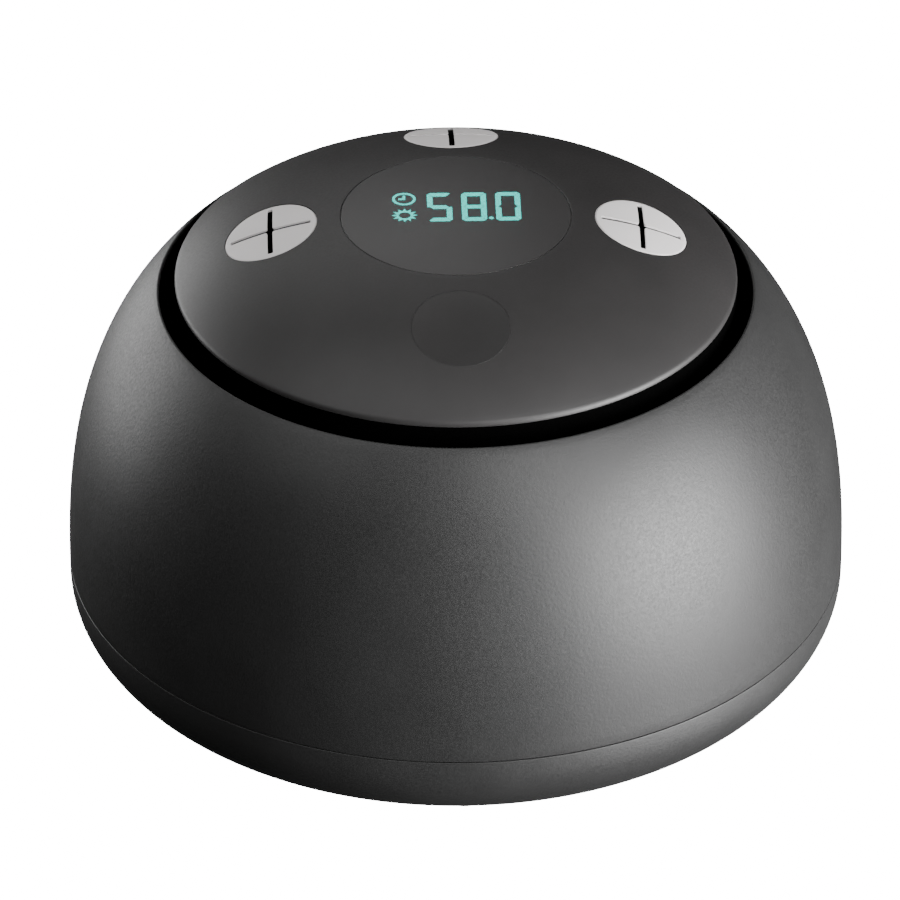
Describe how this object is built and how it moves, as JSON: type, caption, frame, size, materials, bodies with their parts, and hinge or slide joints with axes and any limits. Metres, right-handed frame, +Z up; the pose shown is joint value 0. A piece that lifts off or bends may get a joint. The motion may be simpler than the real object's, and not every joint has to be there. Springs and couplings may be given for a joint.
{
  "type": "dry block heater",
  "caption": "Small domed dry block heater with slit silicone tube ports, a lit display and a dished key in its raised cap.",
  "frame": {"origin": "under the middle of the base, on the plane that the three rubber feet stand on", "axes": "+Z up; -Y is the front, where the dished key is; +Y is the rear, where the power inlet is; +X is to the right of a person facing the front"},
  "size_m": [0.12, 0.12, 0.0752],
  "materials": {
    "casing": "satin dark grey",
    "cap": "satin dark grey",
    "key": "satin dark grey",
    "window": "smoked, nearly flush",
    "display": "lit segments",
    "silicone": "soft matt",
    "guide": "moulded",
    "black_rubber": "matt",
    "aluminium": "machined",
    "steel": "pressed sheet",
    "screw": "plated",
    "film": "smooth film",
    "foam": "soft insulating felt",
    "board": "lacquered",
    "component": "moulded",
    "connector": "moulded",
    "red_lead": "smooth",
    "black_lead": "smooth"
  },
  "bodies": {
    "body": {"block_screw_1": "screw", "block_screw_2": "screw", "block_screw_3": "screw", "block_tray": "steel", "board_screw_1": "screw", "board_screw_2": "screw", "cap_screw_1": "screw", "cap_screw_2": "screw", "cap_screw_3": "screw", "cap_screw_4": "screw", "cap_seal": "black_rubber", "capacitor": "component", "case_screw_1": "screw", "case_screw_2": "screw", "case_screw_3": "screw", "controller_chip": "component", "display_board": "board", "display_cable": "black_lead", "display_module": "display", "display_screw_1": "screw", "display_screw_2": "screw", "display_window": "window", "foot_1": "black_rubber", "foot_2": "black_rubber", "foot_3": "black_rubber", "heater_clamp_plate": "steel", "heater_connector": "connector", "heater_lead": "black_lead", "heater_pad": "film", "heating_block": "aluminium", "heatsink": "aluminium", "insulation_base": "foam", "insulation_jacket": "foam", "insulation_top": "foam", "key_board": "board", "key_screw_1": "screw", "key_screw_2": "screw", "key_switch": "component", "lower_shell": "casing", "main_board": "board", "port_guide_left": "guide", "port_guide_rear": "guide", "port_guide_right": "guide", "port_membrane_left": "silicone", "port_membrane_rear": "silicone", "port_membrane_right": "silicone", "power_inlet": "component", "power_lead_black": "black_lead", "power_lead_red": "red_lead", "sensor_lead": "black_lead", "sounder": "component", "temperature_sensor": "steel", "thermal_cutout": "steel", "top_cap": "cap", "tray_screw_1": "screw", "tray_screw_2": "screw", "tray_screw_3": "screw", "upper_shell": "casing"},
    "key": {"key_button": "key", "switch_plunger": "component"}
  },
  "joints": [
    {"name": "key_press", "type": "slide", "parent": "body", "child": "key", "axis": [0, 0.3032, -0.9529], "range_m": [0, 0.0005], "stiffness_N_per_m": 3000, "springref_m": -0.0002}
  ]
}
